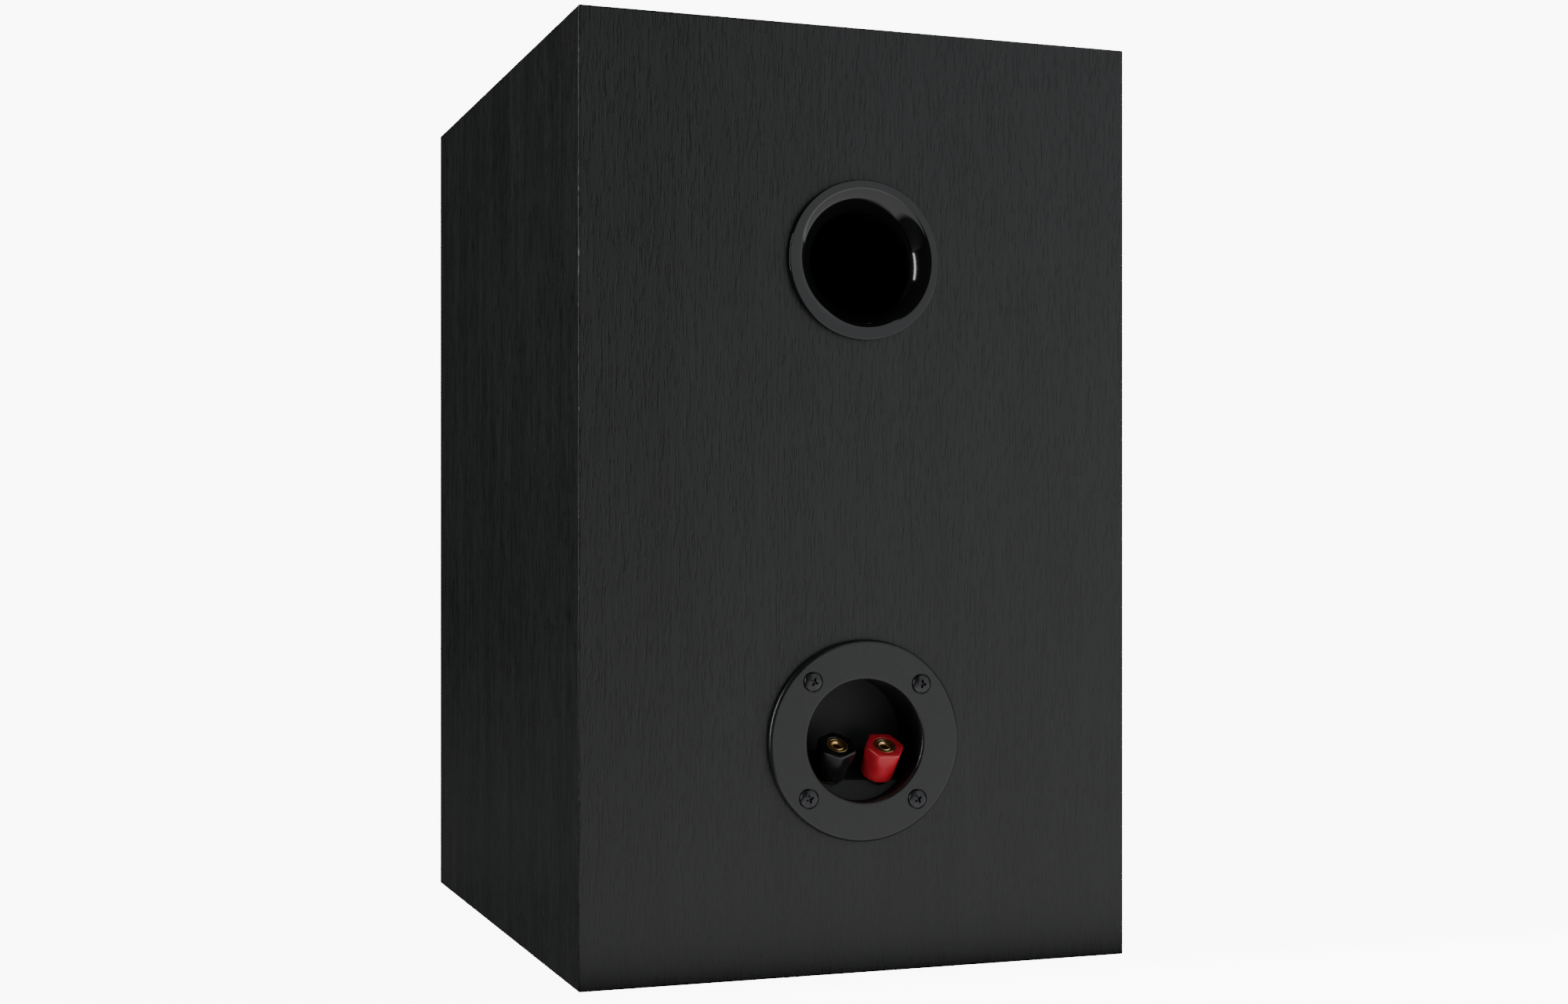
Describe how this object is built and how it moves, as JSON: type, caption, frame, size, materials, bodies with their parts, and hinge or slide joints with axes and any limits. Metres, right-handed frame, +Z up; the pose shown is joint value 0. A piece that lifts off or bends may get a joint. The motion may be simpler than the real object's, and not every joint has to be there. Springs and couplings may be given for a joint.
{
  "type": "bookshelf speaker",
  "caption": "Two-way bookshelf speaker in black wood-grain vinyl with a rear bass port, a round terminal cup with screw-down binding posts and a pull-off grille.",
  "frame": {"origin": "centre of the cabinet's underside, which it stands on", "axes": "+Z up; +Y towards the rear panel with the port and the terminals; -Y towards the grille; +X to the right, seen from the front"},
  "size_m": [0.219, 0.2969, 0.3556],
  "materials": {
    "black_vinyl": "black wood-grain vinyl over fibreboard, satin",
    "raw_board": "fibreboard with a black satin face",
    "gloss_black_plastic": "gloss black moulded plastic",
    "satin_black_plastic": "satin black moulded plastic with a fine texture",
    "black_screw": "black oxide steel",
    "gold_plated_brass": "gold-plated brass, polished",
    "red_plastic": "red moulded plastic, satin",
    "black_plastic": "black moulded plastic, satin",
    "zinc_steel": "zinc-plated steel",
    "stamped_steel": "black painted stamped steel",
    "ferrite": "unfinished ferrite",
    "black_rubber": "butyl rubber, satin",
    "cone_paper": "black pulp paper",
    "spider_cloth": "impregnated cotton",
    "copper_winding": "enamelled copper wire",
    "coated_silk": "coated silk",
    "circuit_board": "glass-fibre board with green lacquer",
    "capacitor_film": "wrapped plastic film",
    "resistor_ceramic": "unglazed ceramic",
    "red_lead": "red wire insulation",
    "black_lead": "black wire insulation",
    "grille_fabric": "black knitted grille cloth",
    "foam": "open-cell polyether foam"
  },
  "bodies": {
    "cabinet": {"rear_panel": "black_vinyl", "left_panel": "black_vinyl", "right_panel": "black_vinyl", "top_panel": "black_vinyl", "bottom_panel": "black_vinyl", "front_baffle": "raw_board", "port_tube": "gloss_black_plastic", "terminal_cup": "satin_black_plastic", "terminal_screw_1": "black_screw", "terminal_screw_2": "black_screw", "terminal_screw_3": "black_screw", "terminal_screw_4": "black_screw", "red_post_stem": "gold_plated_brass", "red_post_nut": "zinc_steel", "black_post_stem": "gold_plated_brass", "black_post_nut": "zinc_steel", "woofer_basket": "stamped_steel", "woofer_surround": "black_rubber", "woofer_spider": "spider_cloth", "woofer_top_plate": "zinc_steel", "woofer_magnet": "ferrite", "woofer_yoke": "zinc_steel", "woofer_screw_1": "black_screw", "woofer_screw_2": "black_screw", "woofer_screw_3": "black_screw", "woofer_screw_4": "black_screw", "tweeter_faceplate": "satin_black_plastic", "tweeter_surround": "coated_silk", "tweeter_top_plate": "zinc_steel", "tweeter_magnet": "ferrite", "tweeter_yoke": "zinc_steel", "tweeter_screw_1": "black_screw", "tweeter_screw_2": "black_screw", "tweeter_screw_3": "black_screw", "tweeter_screw_4": "black_screw", "foam_lining": "foam", "crossover_board": "circuit_board", "woofer_inductor": "copper_winding", "tweeter_inductor": "copper_winding", "woofer_capacitor": "capacitor_film", "tweeter_capacitor": "capacitor_film", "tweeter_resistor": "resistor_ceramic", "red_input_lead": "red_lead", "red_woofer_lead": "red_lead", "red_tweeter_lead": "red_lead", "black_input_lead": "black_lead", "black_woofer_lead": "black_lead", "black_tweeter_lead": "black_lead"},
    "grille": {"grille_frame": "black_plastic", "grille_cloth": "grille_fabric"},
    "woofer_diaphragm": {"woofer_cone": "cone_paper", "woofer_dust_cap": "cone_paper", "woofer_voice_coil": "copper_winding"},
    "tweeter_diaphragm": {"tweeter_dome": "coated_silk"},
    "red_washer": {"red_clamp_washer": "gold_plated_brass"},
    "red_cap": {"red_post_cap": "red_plastic", "red_cap_insert": "gold_plated_brass"},
    "black_washer": {"black_clamp_washer": "gold_plated_brass"},
    "black_cap": {"black_post_cap": "black_plastic", "black_cap_insert": "gold_plated_brass"}
  },
  "joints": [
    {"name": "grille_pull", "type": "slide", "parent": "cabinet", "child": "grille", "axis": [0, -1, 0], "range_m": [0, 0.03]},
    {"name": "woofer_stroke", "type": "slide", "parent": "cabinet", "child": "woofer_diaphragm", "axis": [0, -1, 0], "range_m": [-0.004, 0.004], "stiffness_N_per_m": 1000, "deforming": ["woofer_surround", "woofer_spider"]},
    {"name": "tweeter_stroke", "type": "slide", "parent": "cabinet", "child": "tweeter_diaphragm", "axis": [0, -1, 0], "range_m": [-0.0005, 0.0005], "stiffness_N_per_m": 3000, "deforming": ["tweeter_surround"]},
    {"name": "red_washer_lift", "type": "slide", "parent": "cabinet", "child": "red_washer", "axis": [-0.0318, 0.5592, 0.8284], "range_m": [0, 0.005]},
    {"name": "red_cap_turn", "type": "hinge", "parent": "red_washer", "child": "red_cap", "pos_m": [-0.009, 0.1299, 0.07371], "axis": [-0.0318, 0.5592, 0.8284], "range_deg": [0, 1800]},
    {"name": "black_washer_lift", "type": "slide", "parent": "cabinet", "child": "black_washer", "axis": [-0.0318, 0.5592, 0.8284], "range_m": [0, 0.005]},
    {"name": "black_cap_turn", "type": "hinge", "parent": "black_washer", "child": "black_cap", "pos_m": [0.01003, 0.1299, 0.07445], "axis": [-0.0318, 0.5592, 0.8284], "range_deg": [0, 1800]}
  ],
  "couplings": [
    {"joint": "red_cap_turn", "follows": "red_washer_lift", "rad_per_m": 6283.2},
    {"joint": "black_cap_turn", "follows": "black_washer_lift", "rad_per_m": 6283.2}
  ]
}
